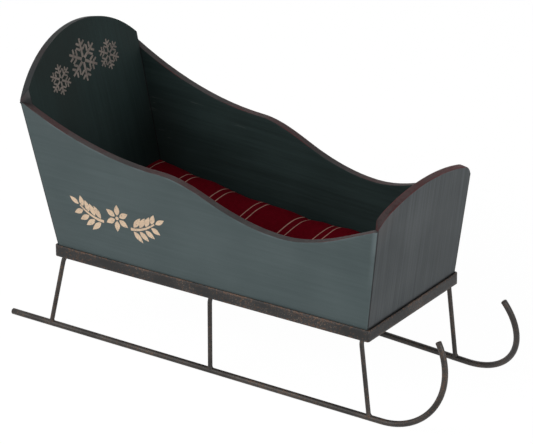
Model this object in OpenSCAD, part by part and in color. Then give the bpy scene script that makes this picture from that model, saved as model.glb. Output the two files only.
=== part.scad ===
// Dolls' sleigh: a painted board tub in a flat-bar rim, on three bent-bar bows and two curled runners.
// All of it is wider at the rear: the sides, the rim and the runners draw in towards the front.
// Millimetres, +X forward, +Z up. The origin is on the floor, under the middle of the outline.

/* [Metal frame] */
// Length of the rim over its outside faces
frame_len = 240; // [200:1:300]
// Width of the rim at the rear, over its outside faces
frame_w_rear = 120; // [100:0.5:140]
// How much narrower the rim is at the front
frame_draw_in = 16.5; // [0:0.5:30]
// Height of the rim's underside above the floor, at mid length
frame_z = 54; // [35:0.5:80]
// How far the frame is tipped up at the front, in degrees
frame_pitch = 0.5; // [0:0.1:3]
// Height of the flat bar of the rim
rim_h = 8; // [6:0.5:14]
// Thickness of the flat bar of the rim
rim_t = 1.2; // [0.8:0.1:2]

/* [Bows] */
// Diameter of the bow bar
bow_d = 3; // [2.5:0.1:4]
// Bend radius at the top of a leg, to the middle of the bar
bow_bend = 5; // [4:0.5:8]
// From the rim's outside to the middle of a leg
leg_inset = 1.5; // [1.4:0.1:2]
// From the rim's rear to the top of the rear bow
rear_bow_in = 6.5; // [3:0.5:20]
// How far the feet of the rear bow stand behind its top
rear_bow_back = 12; // [0:0.5:20]
// Place of the middle bow along the frame, from mid length
middle_bow_x = 0; // [-20:0.5:20]
// From the rim's front to the top of the front bow
front_bow_in = 6.5; // [3:0.5:20]
// How far the feet of the front bow stand ahead of its top
front_bow_ahead = 6.5; // [0:0.5:20]

/* [Runners] */
// Diameter of the runner bar
runner_d = 4; // [3.5:0.1:6]
// How far the runners reach behind the rim
runner_tail = 37; // [20:1:60]
// From the rim's front to the start of the curl
curl_lead = 9.5; // [5:0.5:30]
// Radius of the curl, to the middle of the bar
curl_r = 45.5; // [30:0.5:55]
// How far round the curl goes, in degrees
curl_sweep = 118; // [95:1:170]
// Inward lean of the right curl, in degrees
right_curl_lean = 0; // [0:1:25]
// Inward lean of the left curl, in degrees
left_curl_lean = 18; // [0:1:25]

/* [Tub boards] */
// Thickness of the side and end boards
board_t = 5; // [4:0.5:7]
// Clearance between the tub and the rim, at the rim's top
rim_gap = 0.4; // [0.2:0.1:1]
// Outward lean of the side boards, in degrees
side_flare = 2.5; // [0:0.5:8]
// Backward lean of the headboard, in degrees
head_rake = 13.5; // [0:0.5:20]
// Forward lean of the front board, in degrees
front_rake = 7.5; // [0:0.5:15]
// Thickness of the floor board
floor_t = 4; // [3:0.5:8]
// Clearance round the floor board
floor_gap = 0.2; // [0.1:0.1:0.5]

/* [End boards] */
// Height of the headboard's crown above the rim, along the board
head_h = 132.8; // [110:0.5:160]
// Radius of the headboard's arch
head_arch_r = 78.8; // [72:0.2:120]
// Radius of the headboard's shoulders
head_corner_r = 4; // [2:0.5:8]
// Height of the front board's crown above the rim, along the board
front_h = 85.4; // [78:0.2:110]
// Radius of the front board's arch
front_arch_r = 180; // [120:5:400]
// Radius of the front board's corners
front_corner_r = 19; // [8:1:24]

/* [Side curve] */
// Height of the side at the headboard, above the rim
side_rear_h = 97.5; // [85:0.5:98]
// Fall of the side where it leaves the headboard, in degrees
side_rear_fall = 27; // [10:1:35]
// Place of the crest behind mid length
crest_back = 36; // [30:1:55]
// Height of the side at the crest, above the rim
crest_h = 70.2; // [64:0.2:76]
// Place of the steepest fall ahead of mid length
fall_ahead = 2; // [-5:1:15]
// Height of the side at the steepest fall, above the rim
fall_h = 60; // [55:0.5:63]
// Slope of the steepest fall, in degrees
fall_slope = 22.5; // [15:0.5:35]
// Place of the dip ahead of mid length
dip_ahead = 57; // [45:1:75]
// Height of the side at the dip, above the rim
dip_h = 48; // [40:0.5:54]
// Height of the side at the front board, above the rim
side_front_h = 71.2; // [60:0.2:73]
// Rise of the side where it meets the front board, in degrees
side_front_rise = 23; // [10:1:30]

/* [Cushion] */
// Thickness of the cushion
cushion_h = 12; // [8:0.5:24]
// Thickness of the cushion at its head end
cushion_head_h = 20.5; // [12:0.5:32]
// Place ahead of mid length where the head end starts to rise
cushion_rise_x = -40; // [-60:1:0]
// Clearance round the cushion
cushion_gap = 0.3; // [0.2:0.1:1]

/* [Hidden] */
$fn = 96;
STEPS = 12;
MITRE_TRIM = 0.3;
bow_r = bow_d / 2;
runner_r = runner_d / 2;
// How far each side draws in towards the front, in degrees
toe = atan(frame_draw_in / 2 / frame_len);
// Width of the rim at mid length
frame_w = frame_w_rear - frame_draw_in / 2;
rim_side_t = rim_t / cos(toe);
// From the middle of a bow's bend to the rim's inside, where it comes nearest over the bar
rim_over_bend = bow_bend + leg_inset - rim_side_t - bow_r * tan(toe);
// The rim stands on the outside of the bends, which sets the bar's middle above the rim's underside
bow_seat = bow_bend - sqrt(pow(bow_bend + bow_r, 2) - pow(rim_over_bend, 2));
// The tub stands on the cross bars: heights in the tub count from the rim's top
foot_z = bow_seat + bow_r - rim_h;
tub_x = frame_len / 2 - rim_t - rim_gap;
tub_y = frame_w / 2 - rim_side_t - rim_gap / cos(toe);
rear_bow_x = rear_bow_in - frame_len / 2;
rear_foot_x = rear_bow_x - rear_bow_back;
front_bow_x = frame_len / 2 - front_bow_in;
front_foot_x = front_bow_x + front_bow_ahead;
// The runners pass under the feet of the end bows, which sets how far they draw in, in degrees
runner_toe = atan((leg_y(rear_bow_x) - leg_y(front_bow_x)) / (front_foot_x - rear_foot_x));
tail_x = -frame_len / 2 - runner_tail;
curl_x = frame_len / 2 + curl_lead;
shift_x = -((tail_x + curl_x + curl_r) * cos(runner_toe) + runner_r * (1 - sin(runner_toe))) / 2;
BIG = 2 * frame_len;
n_side = [sin(toe) * cos(side_flare), -cos(toe) * cos(side_flare), -sin(side_flare)];
n_head = [-cos(head_rake), 0, -sin(head_rake)];
n_front = [cos(front_rake), 0, -sin(front_rake)];
rear_x = -tub_x - tan(head_rake) * side_rear_h;
front_x = tub_x + tan(front_rake) * side_front_h;
// Stations of the side's top edge: place, height and slope
STATIONS = [
    [rear_x, side_rear_h, -tan(side_rear_fall)],
    [-crest_back, crest_h, 0],
    [fall_ahead, fall_h, -tan(fall_slope)],
    [dip_ahead, dip_h, 0],
    [front_x, side_front_h, tan(side_front_rise)],
];
// Spread of the side boards, and so of the end boards' edges, for each millimetre up
side_spread = tan(side_flare) / cos(toe);
head_spread = side_spread + tan(head_rake) * tan(toe);
front_spread = side_spread - tan(front_rake) * tan(toe);
floor_y = tub_y + side_spread * foot_z - board_t / cos(side_flare) / cos(toe) - floor_gap;
floor_rear = tub_x + tan(head_rake) * foot_z - board_t / cos(head_rake) - floor_gap;
floor_front = tub_x + tan(front_rake) * foot_z - board_t / cos(front_rake) - floor_gap;
cushion_z = foot_z + floor_t + cushion_gap;

// Distance from the middle line at a place along the frame, for what is y away from it at mid length
function drawn_in(y, x) = y - x * tan(toe);

// Middle of a leg, to a hundredth, so that a bow's bar and its bends meet face to face
function leg_y(x) = round(100 * drawn_in(frame_w / 2 - leg_inset, x)) / 100;

function runner_y(x) = leg_y(rear_bow_x) - (x - rear_foot_x) * tan(runner_toe);

// Smooth curve between two stations, t from 0 to 1
function between(p, q, t) =
    let (h = q[0] - p[0], s = 1 - t)
    [p[0] + h * t,
     s * s * (1 + 2 * t) * p[1] + t * s * s * h * p[2] + t * t * (3 - 2 * t) * q[1] - t * t * s * h * q[2]];

// Point of a station's tangent at a distance d along X
function beyond(p, d) = [p[0] + d, p[1] + d * p[2]];

function side_curve() = concat(
    [beyond(STATIONS[0], -board_t)],
    [for (i = [0 : len(STATIONS) - 2], k = [0 : STEPS - 1])
        between(STATIONS[i], STATIONS[i + 1], k / STEPS)],
    [[front_x, side_front_h], beyond(STATIONS[4], board_t)]);

// Place in the sleigh of what is drawn from the middle of the rim's top
module on_frame() {
    translate([shift_x, 0, frame_z])
        rotate([0, -frame_pitch, 0])
            translate([0, 0, rim_h])
                children();
}

// All that lies beyond a plane through p, on the side that n points to
module beyond_plane(p, n) {
    translate(p)
        rotate([0, acos(n[2] / norm(n)), atan2(n[1], n[0])])
            translate([-BIG / 2, -BIG / 2, 0])
                cube([BIG, BIG, BIG]);
}

// Board with its outer face in the XY plane, stood up with its foot level with the cross bars
module board(place, turn, lean) {
    difference() {
        translate(place)
            rotate([90 + lean, 0, turn])
                translate([0, 0, -board_t])
                    linear_extrude(board_t)
                        children();
        translate([-BIG / 2, -BIG / 2, foot_z - BIG])
            cube([BIG, BIG, BIG]);
    }
}

module side_outline() {
    top = [for (p = side_curve()) [p[0], p[1] / cos(side_flare)]];
    last = len(top) - 1;
    polygon(concat([[top[last][0], -2 * rim_h], [top[0][0], -2 * rim_h]], top));
}

// Points of an arc round c, both ends in
function arc(c, r, from, to, n) =
    [for (i = [0 : n])
        let (a = from + (to - from) * i / n)
        c + r * [cos(a), sin(a)]];

// Arched end board with round corners: its edges stand MITRE_TRIM past the mitres, which cut them true
module end_outline(h, arch_r, corner_r, half_w, slope) {
    lean = atan(slope);
    edge = half_w + MITRE_TRIM;
    mid = h - arch_r;
    // Middle of the corner: corner_r in from the edge, and in from the arch by the same
    k = edge - corner_r / cos(lean);
    a = 1 + slope * slope;
    b = k * slope - mid;
    c = k * k + mid * mid - pow(arch_r - corner_r, 2);
    v = (sqrt(b * b - a * c) - b) / a;
    u = k + slope * v;
    join = atan2(v - mid, u);
    low = -2 * rim_h;
    arch = arc([0, mid], arch_r, join, 180 - join, 4 * STEPS);
    polygon(concat(
        [[-edge - slope * low, low], [edge + slope * low, low]],
        arc([u, v], corner_r, -lean, join, STEPS),
        [for (i = [1 : len(arch) - 2]) arch[i]],
        arc([-u, v], corner_r, 180 - join, 180 + lean, STEPS)));
}

// Side board, mitred to both end boards
module side_board() {
    difference() {
        board([0, -tub_y, 0], toe, side_flare)
            side_outline();
        beyond_plane([tub_x, -drawn_in(tub_y, tub_x), 0], n_front - n_side);
        beyond_plane([-tub_x, -drawn_in(tub_y, -tub_x), 0], n_head - n_side);
    }
}

// End board, mitred to both side boards
module end_board(x, turn, rake, n) {
    difference() {
        board([x, 0, 0], turn, rake)
            children();
        for (s = [0, 1])
            mirror([0, s, 0])
                beyond_plane([x, -drawn_in(tub_y, x), 0], n_side - n);
    }
}

module side_board_right() {
    color([0.30, 0.36, 0.36])
        on_frame()
            side_board();
}

module side_board_left() {
    color([0.28, 0.34, 0.34])
        on_frame()
            mirror([0, 1, 0])
                side_board();
}

module headboard() {
    color([0.24, 0.30, 0.30])
        on_frame()
            end_board(-tub_x, -90, head_rake, n_head)
                end_outline(head_h, head_arch_r, head_corner_r,
                            drawn_in(tub_y, -tub_x), head_spread * cos(head_rake));
}

module front_board() {
    color([0.29, 0.32, 0.33])
        on_frame()
            end_board(tub_x, 90, front_rake, n_front)
                end_outline(front_h, front_arch_r, front_corner_r,
                            drawn_in(tub_y, tub_x), front_spread * cos(front_rake));
}

// Plan of the tub's inside at its foot, with a clearance all round
module floor_plan(gap) {
    tail = -floor_rear + gap;
    nose = floor_front - gap;
    tail_y = drawn_in(floor_y, tail) - gap;
    nose_y = drawn_in(floor_y, nose) - gap;
    polygon([[tail, -tail_y], [nose, -nose_y], [nose, nose_y], [tail, tail_y]]);
}

module floor_board() {
    color([0.20, 0.24, 0.24])
        on_frame()
            translate([0, 0, foot_z])
                linear_extrude(floor_t)
                    floor_plan(0);
}

// Cushion: its plan fills the tub, and its top is level at the front and rises to the head
module cushion() {
    tail = -floor_rear + cushion_gap;
    rise = (cushion_head_h - cushion_h) / (cushion_rise_x - tail);
    color([0.45, 0.03, 0.06])
        on_frame()
            translate([0, 0, cushion_z])
                intersection() {
                    linear_extrude(2 * cushion_head_h)
                        floor_plan(cushion_gap);
                    rotate([90, 0, 0])
                        linear_extrude(BIG, center = true)
                            polygon([
                                [-BIG, -BIG],
                                [BIG, -BIG],
                                [BIG, cushion_h],
                                [cushion_rise_x, cushion_h],
                                [-BIG, cushion_h + rise * (cushion_rise_x + BIG)],
                            ]);
                }
}

// Corners of the rim in plan, outside and inside: end is 1 at the front, side is 1 on the left
function rim_out(end, side) =
    let (x = end * frame_len / 2)
    [x, side * drawn_in(frame_w / 2, x)];

function rim_in(end, side) =
    let (x = end * (frame_len / 2 - rim_t))
    [x, side * (drawn_in(frame_w / 2, x) - rim_side_t)];

// Flat bar of the rim between two of its corners, each an end and a side, mitred there
module rim_bar(a, b) {
    translate([0, 0, -rim_h])
        linear_extrude(rim_h)
            polygon([
                rim_out(a[0], a[1]),
                rim_out(b[0], b[1]),
                rim_in(b[0], b[1]),
                rim_in(a[0], a[1]),
            ]);
}

module rim_right() {
    color([0.24, 0.22, 0.21])
        on_frame()
            rim_bar([-1, -1], [1, -1]);
}

module rim_left() {
    color([0.24, 0.22, 0.21])
        on_frame()
            rim_bar([1, 1], [-1, 1]);
}

module rim_front() {
    color([0.26, 0.24, 0.23])
        on_frame()
            rim_bar([1, -1], [1, 1]);
}

module rim_rear() {
    color([0.26, 0.24, 0.23])
        on_frame()
            rim_bar([-1, 1], [-1, -1]);
}

// Bow: one bar bent to an upside-down U, its feet coped to sit on the runners
module bow(top_x, foot_x) {
    px = top_x * cos(frame_pitch) - bow_seat * sin(frame_pitch);
    pz = frame_z + top_x * sin(frame_pitch) + bow_seat * cos(frame_pitch);
    leg = leg_y(top_x);
    bend_y = leg - bow_bend;
    dx = foot_x - px;
    dz = pz - runner_r;
    reach = norm([dx, dz]);
    translate([shift_x, 0, 0])
        difference() {
            translate([px, 0, pz])
                rotate([0, -atan2(dx, dz), 0])
                    union() {
                        rotate([90, 0, 0])
                            cylinder(r = bow_r, h = 2 * bend_y, center = true);
                        for (s = [0, 1])
                            mirror([0, s, 0]) {
                                translate([0, bend_y, -bow_bend])
                                    rotate([90, 0, 90])
                                        rotate_extrude(angle = 90)
                                            translate([bow_bend, 0])
                                                circle(bow_r);
                                translate([0, leg, -reach])
                                    cylinder(r = bow_r, h = reach - bow_bend);
                            }
                    }
            for (s = [-1, 1])
                translate([foot_x, s * runner_y(foot_x), runner_r])
                    rotate([0, 90, -s * runner_toe])
                        cylinder(r = runner_r, h = 10 * bow_d, center = true);
        }
}

module bow_rear() {
    color([0.22, 0.20, 0.19])
        bow(rear_bow_x, rear_foot_x);
}

module bow_middle() {
    color([0.22, 0.20, 0.19])
        bow(middle_bow_x, middle_bow_x);
}

module bow_front() {
    color([0.22, 0.20, 0.19])
        bow(front_bow_x, front_foot_x);
}

// Runner: one bar, straight on the floor and curled up at the front
module runner(side, lean) {
    translate([shift_x, side * runner_y(0), runner_r])
        rotate([side * lean, 0, -side * runner_toe])
            union() {
                translate([tail_x, 0, 0])
                    rotate([0, 90, 0])
                        cylinder(r = runner_r, h = curl_x - tail_x);
                translate([curl_x, 0, curl_r])
                    rotate([90, 0, 0])
                        rotate([0, 0, -90])
                            rotate_extrude(angle = curl_sweep)
                                translate([curl_r, 0])
                                    circle(runner_r);
            }
}

module runner_right() {
    color([0.21, 0.19, 0.18])
        runner(-1, right_curl_lean);
}

module runner_left() {
    color([0.21, 0.19, 0.18])
        runner(1, left_curl_lean);
}

side_board_right();
side_board_left();
headboard();
front_board();
floor_board();
cushion();
rim_right();
rim_left();
rim_front();
rim_rear();
bow_rear();
bow_middle();
bow_front();
runner_right();
runner_left();
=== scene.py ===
"""Dresses the dolls' sleigh: brushed boards, rubbed bar frame, striped cushion and a plain studio."""

import logging
import math
from dataclasses import dataclass, field
from enum import Enum
from typing import Sequence, Union

import bmesh
import bpy
from mathutils import Matrix, Vector, noise


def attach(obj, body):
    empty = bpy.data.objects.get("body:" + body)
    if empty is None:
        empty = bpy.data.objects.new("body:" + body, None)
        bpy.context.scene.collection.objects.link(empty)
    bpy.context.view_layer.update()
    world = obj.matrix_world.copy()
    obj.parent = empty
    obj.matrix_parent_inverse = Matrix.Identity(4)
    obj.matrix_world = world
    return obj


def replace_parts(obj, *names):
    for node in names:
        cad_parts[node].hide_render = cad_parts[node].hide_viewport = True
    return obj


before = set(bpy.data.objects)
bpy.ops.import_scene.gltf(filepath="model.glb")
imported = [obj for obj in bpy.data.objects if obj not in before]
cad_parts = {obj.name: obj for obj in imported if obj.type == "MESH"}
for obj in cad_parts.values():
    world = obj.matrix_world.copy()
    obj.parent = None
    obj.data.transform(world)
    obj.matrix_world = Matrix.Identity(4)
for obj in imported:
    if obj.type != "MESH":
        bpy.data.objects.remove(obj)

LOG = logging.getLogger("sleigh")
MM = 0.001
BODY = "root"

Point2 = tuple[float, float]
Colour = tuple[float, float, float]
Input = Union["Value", bpy.types.NodeSocket, float, Sequence[float]]


def from_srgb(red: int, green: int, blue: int) -> Colour:
    """Turns a colour written as 0 to 255 into the linear values that a shader takes.

    Args:
        red: Red as a screen shows it.
        green: Green as a screen shows it.
        blue: Blue as a screen shows it.

    Returns:
        The colour in linear values.
    """

    def linear(level: int) -> float:
        """One channel, by the standard screen curve."""
        s = level / 255
        return s / 12.92 if s <= 0.04045 else ((s + 0.055) / 1.055) ** 2.4

    return linear(red), linear(green), linear(blue)


# Dark colour of the mitre seams; it is also the painted shade in the gap between a board's foot and the rim.
SEAM_AND_SHADE: Colour = from_srgb(28, 31, 32)
SIX_WAYS = range(30, 390, 60)


class Hand(Enum):
    """The two hands of the sleigh, as the sign of their Y."""

    RIGHT = -1
    LEFT = 1


class Zone(Enum):
    """The parts of a board that are painted apart, as material slots."""

    OUTER = 0
    INNER = 1
    EDGE = 2


class Grain(Enum):
    """Which way the marks on a board run, as stretches of the object's X, Y and Z."""

    ALONG = (9.0, 9.0, 260.0)
    UPRIGHT = (6.0, 380.0, 6.0)
    SCRATCHED = (40.0, 40.0, 420.0)


class Value:
    """A number in a shader: its operators add Math nodes."""

    def __init__(self, surface: "Surface", socket: bpy.types.NodeSocket) -> None:
        """Wraps a socket of a surface's tree."""
        self.surface = surface
        self.socket = socket

    def _math(self, operation: str, *inputs: Input) -> "Value":
        """Adds one Math node and returns its result."""
        return self.surface.node(
            "ShaderNodeMath", {"operation": operation}, dict(enumerate(inputs))
        )

    def __add__(self, other: Input) -> "Value":
        """This plus other."""
        return self._math("ADD", self, other)

    def __radd__(self, other: Input) -> "Value":
        """Other plus this."""
        return self._math("ADD", other, self)

    def __sub__(self, other: Input) -> "Value":
        """This less other."""
        return self._math("SUBTRACT", self, other)

    def __rsub__(self, other: Input) -> "Value":
        """Other less this."""
        return self._math("SUBTRACT", other, self)

    def __mul__(self, other: Input) -> "Value":
        """This times other."""
        return self._math("MULTIPLY", self, other)

    def __rmul__(self, other: Input) -> "Value":
        """Other times this."""
        return self._math("MULTIPLY", other, self)

    def __truediv__(self, other: Input) -> "Value":
        """This over other."""
        return self._math("DIVIDE", self, other)

    def __rtruediv__(self, other: Input) -> "Value":
        """Other over this."""
        return self._math("DIVIDE", other, self)

    def fraction(self) -> "Value":
        """What is left of this above a whole number."""
        return self._math("FRACT", self)

    def size(self) -> "Value":
        """This without its sign."""
        return self._math("ABSOLUTE", self)

    def at_least(self, other: Input) -> "Value":
        """The larger of this and other."""
        return self._math("MAXIMUM", self, other)

    def step(self, low: float, high: float) -> "Value":
        """Rises smoothly from 0 at low to 1 at high.

        Args:
            low: Where the rise starts.
            high: Where the rise ends; below low, the step falls instead.

        Returns:
            The step, from 0 to 1.
        """
        return self.surface.node(
            "ShaderNodeMapRange",
            {"interpolation_type": "SMOOTHSTEP"},
            {"Value": self, "From Min": low, "From Max": high},
        )


class Surface:
    """A material with one Principled shader, built from nodes."""

    def __init__(self, name: str, **constants: Input) -> None:
        """Starts the material.

        Args:
            name: The material's name.
            **constants: Values for the shader's own sockets, with _ for a space.
        """
        self.material = bpy.data.materials.new(name)
        self.material.use_nodes = True
        self.tree = self.material.node_tree
        self.tree.nodes.clear()
        self.output = self.tree.nodes.new("ShaderNodeOutputMaterial")
        self.shader = self.tree.nodes.new("ShaderNodeBsdfPrincipled")
        self.tree.links.new(self.shader.outputs[0], self.output.inputs["Surface"])
        for key, value in constants.items():
            self.feed(self.shader, key.replace("_", " "), value)

    def feed(self, node: bpy.types.Node, key: Union[str, int], value: Input) -> None:
        """Sets or links one socket of a node.

        Args:
            node: The node to feed.
            key: The socket's name or number.
            value: A number, a colour, a vector or something to link.
        """
        socket = node.inputs[key]
        if isinstance(value, Value):
            self.tree.links.new(value.socket, socket)
        elif isinstance(value, bpy.types.NodeSocket):
            self.tree.links.new(value, socket)
        elif socket.type == "RGBA" and len(value) == 3:
            socket.default_value = (*value, 1.0)
        else:
            socket.default_value = value

    def node(self, kind: str, settings: dict, inputs: dict, output: int = 0) -> Value:
        """Adds a node of any kind.

        Args:
            kind: The node's type.
            settings: Attributes to set first; stops are a ramp's places and colours.
            inputs: Values or links by socket name or number.
            output: Which output to return.

        Returns:
            The chosen output.
        """
        made = self.tree.nodes.new(kind)
        for key, value in settings.items():
            if key == "stops":
                ramp = made.color_ramp.elements
                while len(ramp) < len(value):
                    ramp.new(1.0)
                for element, (place, colour) in zip(ramp, value):
                    element.position = place
                    element.color = (*colour, 1.0)
            else:
                setattr(made, key, value)
        for key, value in inputs.items():
            self.feed(made, key, value)
        return Value(self, made.outputs[output])

    def place(self, stretch: Sequence[float] = (1.0, 1.0, 1.0)) -> Value:
        """The point on the object, in metres, stretched along each axis."""
        at = self.node("ShaderNodeTexCoord", {}, {}, 3)
        return self.node("ShaderNodeMapping", {}, {"Vector": at, "Scale": stretch})

    def axis(self, number: int) -> Value:
        """One coordinate of the point on the object, in metres: 0, 1 or 2."""
        return self.node(
            "ShaderNodeSeparateXYZ", {}, {"Vector": self.place()}, number
        )

    def noise(
        self, scale: float, stretch: Sequence[float] = (1, 1, 1), detail: float = 3.0
    ) -> Value:
        """Cloudy noise from about 0.25 to 0.75.

        Args:
            scale: Lumps to the metre.
            stretch: How much finer it is along each axis.
            detail: Octaves of finer lumps.

        Returns:
            The noise.
        """
        return self.node(
            "ShaderNodeTexNoise",
            {},
            {"Vector": self.place(stretch), "Scale": scale, "Detail": detail},
        )

    def mask(self, name: str) -> Value:
        """A number that the mesh carries on its points."""
        return self.node("ShaderNodeAttribute", {"attribute_name": name}, {}, 2)

    def mix(self, share: Input, first: Input, second: Input) -> Value:
        """Blends two colours.

        Args:
            share: How much of the second colour shows.
            first: The colour at 0.
            second: The colour at 1.

        Returns:
            The blend.
        """
        return self.node(
            "ShaderNodeMix", {"data_type": "RGBA"}, {0: share, 6: first, 7: second}, 2
        )

    def colour(self, value: Input) -> "Surface":
        """Sets the shader's colour and returns the surface."""
        self.feed(self.shader, "Base Color", value)
        return self

    def rough(self, value: Input) -> "Surface":
        """Sets the shader's roughness and returns the surface."""
        self.feed(self.shader, "Roughness", value)
        return self

    def relief(self, height: Value, depth: float) -> "Surface":
        """Bumps the surface by a height map.

        Args:
            height: The map, from 0 to 1.
            depth: What 1 stands for, in metres.

        Returns:
            The surface.
        """
        bump = self.node(
            "ShaderNodeBump", {}, {"Height": height, "Distance": depth, "Strength": 1.0}
        )
        self.feed(self.shader, "Normal", bump)
        return self


@dataclass(frozen=True)
class BrushedPaint:
    """Matt paint laid on with a coarse brush, rubbed through along the board's edges."""

    name: str
    light: Colour
    dark: Colour
    tint: Colour
    rubbed: Colour
    grain: Grain
    streaks: float = 1.0
    rub: float = 0.6
    scuffs: float = 0.0
    # Height of the painted shade band along the board's foot, where the rim stands off it; 0 for none.
    gap_shade_z: float = 0.0
    corner: Point2 | None = None
    gloss: float = 0.25
    depth: float = 0.2 * MM
    gap_shade_fade: Point2 = (0.5 * MM, 1.7 * MM)
    corner_fade: Point2 = (1.5 * MM, 5.0 * MM)
    corner_rise: Point2 = (85.0 * MM, 128.0 * MM)

    def build(self) -> bpy.types.Material:
        """Makes the paint.

        Returns:
            The material.
        """
        s = Surface(self.name, Specular_IOR_Level=self.gloss)
        strokes = s.noise(1.0, self.grain.value, 5.0)
        hairs = s.noise(3.0, self.grain.value, 3.0)
        paint = self._worn(s, self._coat(s, strokes, hairs))
        # The mitres get their dark seam colour, and the foot gap gets painted shade in the same colour.
        s.colour(s.mix(self._seams_and_gap_shade(s), paint, SEAM_AND_SHADE))
        s.rough(0.66 + (strokes - 0.5) * 0.3)
        s.relief(strokes * 0.6 + hairs * 0.4, self.depth)
        return s.material

    def _coat(self, s: Surface, strokes: Value, hairs: Value) -> Value:
        """Lays the paint on, streaked by the brush and clouded.

        Args:
            s: The surface.
            strokes: The broad marks of the brush.
            hairs: The fine marks of its hairs.

        Returns:
            The colour of the coat.
        """
        clouds = s.noise(22.0, detail=2.0)
        lines = (strokes - 0.5) * self.streaks + (hairs - 0.5) * (0.7 * self.streaks)
        tone = (lines + (clouds - 0.5) * 0.6 + 0.5).step(0.2, 0.8)
        tinted = s.noise(13.0, detail=1.0).step(0.48, 0.66) * 0.6
        return s.mix(tinted, s.mix(tone, self.dark, self.light), self.tint)

    def _worn(self, s: Surface, paint: Value) -> Value:
        """Scuffs the coat, rubs it through along the arrises and roughens it with grit.

        Args:
            s: The surface.
            paint: The colour of the coat.

        Returns:
            The colour with its wear.
        """
        scratch = s.noise(1.0, Grain.SCRATCHED.value, 3.0).step(0.66, 0.72)
        marked = s.noise(26.0, detail=1.0).step(0.52, 0.6)
        paint = s.mix(scratch * marked * self.scuffs, paint, self.rubbed)
        patches = s.noise(60.0, detail=4.0)
        paint = s.mix(s.mask("arris") * patches.step(0.46, 0.62) * self.rub, paint, self.rubbed)
        grit = (s.noise(650.0, detail=2.0) - 0.5).size() * 0.5
        paint = s.mix(grit, paint, self.dark)
        if not self.corner:
            return paint
        at_ground, lean = self.corner
        back = at_ground + s.axis(2) * lean - s.axis(0)
        beside = back.step(*reversed(self.corner_fade)) * s.axis(2).step(*self.corner_rise)
        return s.mix(beside * patches.step(0.36, 0.56) * 0.7, paint, self.rubbed)

    def _seams_and_gap_shade(self, s: Surface) -> Value:
        """Darkens the mitres, and paints shade into the gap at the foot where the board has one.

        Args:
            s: The surface.

        Returns:
            How dark it is, from 0 to 1.
        """
        mitre = s.mask("seam").step(0.45, 0.85) * 0.85
        if not self.gap_shade_z:
            return mitre
        # Painted shade: full dark up to just above the foot gap, fading out a little higher.
        full, none = self.gap_shade_fade
        return mitre.at_least(s.axis(2).step(self.gap_shade_z + none, self.gap_shade_z + full) * 0.9)


@dataclass(frozen=True)
class WornEdge:
    """The cut edge of a board: thin paint over a red ground, worn along both arrises."""

    name: str
    film: Colour
    ground: Colour
    bare: Colour
    line: Colour
    worn: Colour
    lined: float = 0.5
    depth: float = 0.2 * MM

    def build(self) -> bpy.types.Material:
        """Makes the edge's finish.

        Returns:
            The material.
        """
        s = Surface(self.name, Specular_IOR_Level=0.2)
        slow = s.noise(16.0, detail=1.0)
        along = s.noise(38.0, detail=4.0)
        fine = s.noise(420.0, detail=3.0)
        body = s.mix((slow + (fine - 0.5) * 0.2).step(0.42, 0.6), self.film, self.ground)
        body = s.mix((along + (fine - 0.5) * 0.4).step(0.5, 0.66) * 0.7, body, self.bare)
        arris = s.mask("arris").step(0.55, 1.0)
        body = s.mix(arris * s.noise(52.0, detail=3.0).step(0.56, 0.66) * 0.6, body, self.worn)
        broken = s.noise(24.0, detail=2.0).step(0.5, 0.6)
        body = s.mix(arris * broken * self.lined, body, self.line)
        s.colour(s.mix(s.mask("seam").step(0.2, 1.0) * 0.55, body, SEAM_AND_SHADE))
        s.rough(0.65 + (fine - 0.5) * 0.4)
        s.relief(fine * 0.7 + along * 0.3, self.depth)
        return s.material


@dataclass(frozen=True)
class RubbedLacquer:
    """Dark lacquer on bar, with a brown rub in specks and along the edges."""

    name: str
    dark: Colour
    light: Colour
    rub: Colour
    amount: float = 0.5
    pits: float = 0.2
    pit: Colour = from_srgb(168, 146, 126)
    depth: float = 0.12 * MM

    def build(self) -> bpy.types.Material:
        """Makes the lacquer.

        Returns:
            The material.
        """
        s = Surface(self.name, Metallic=0.35, Specular_IOR_Level=0.4)
        cloud = s.noise(45.0, detail=3.0)
        speck = s.noise(700.0, detail=3.0)
        base = s.mix(cloud.step(0.35, 0.65), self.dark, self.light)
        edge = s.mask("arris")
        rubbed = (speck + edge * 0.13 + (cloud - 0.5) * 0.3).step(0.58, 0.70)
        paint = s.mix(rubbed * self.amount, base, self.rub)
        pitted = s.noise(1500.0, detail=2.0).step(0.62, 0.68) * cloud.step(0.4, 0.6)
        s.colour(s.mix(pitted * self.pits, paint, self.pit))
        s.rough(0.5 + (speck - 0.5) * 0.5)
        s.relief(speck * 0.5 + cloud * 0.5, self.depth)
        return s.material


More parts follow.
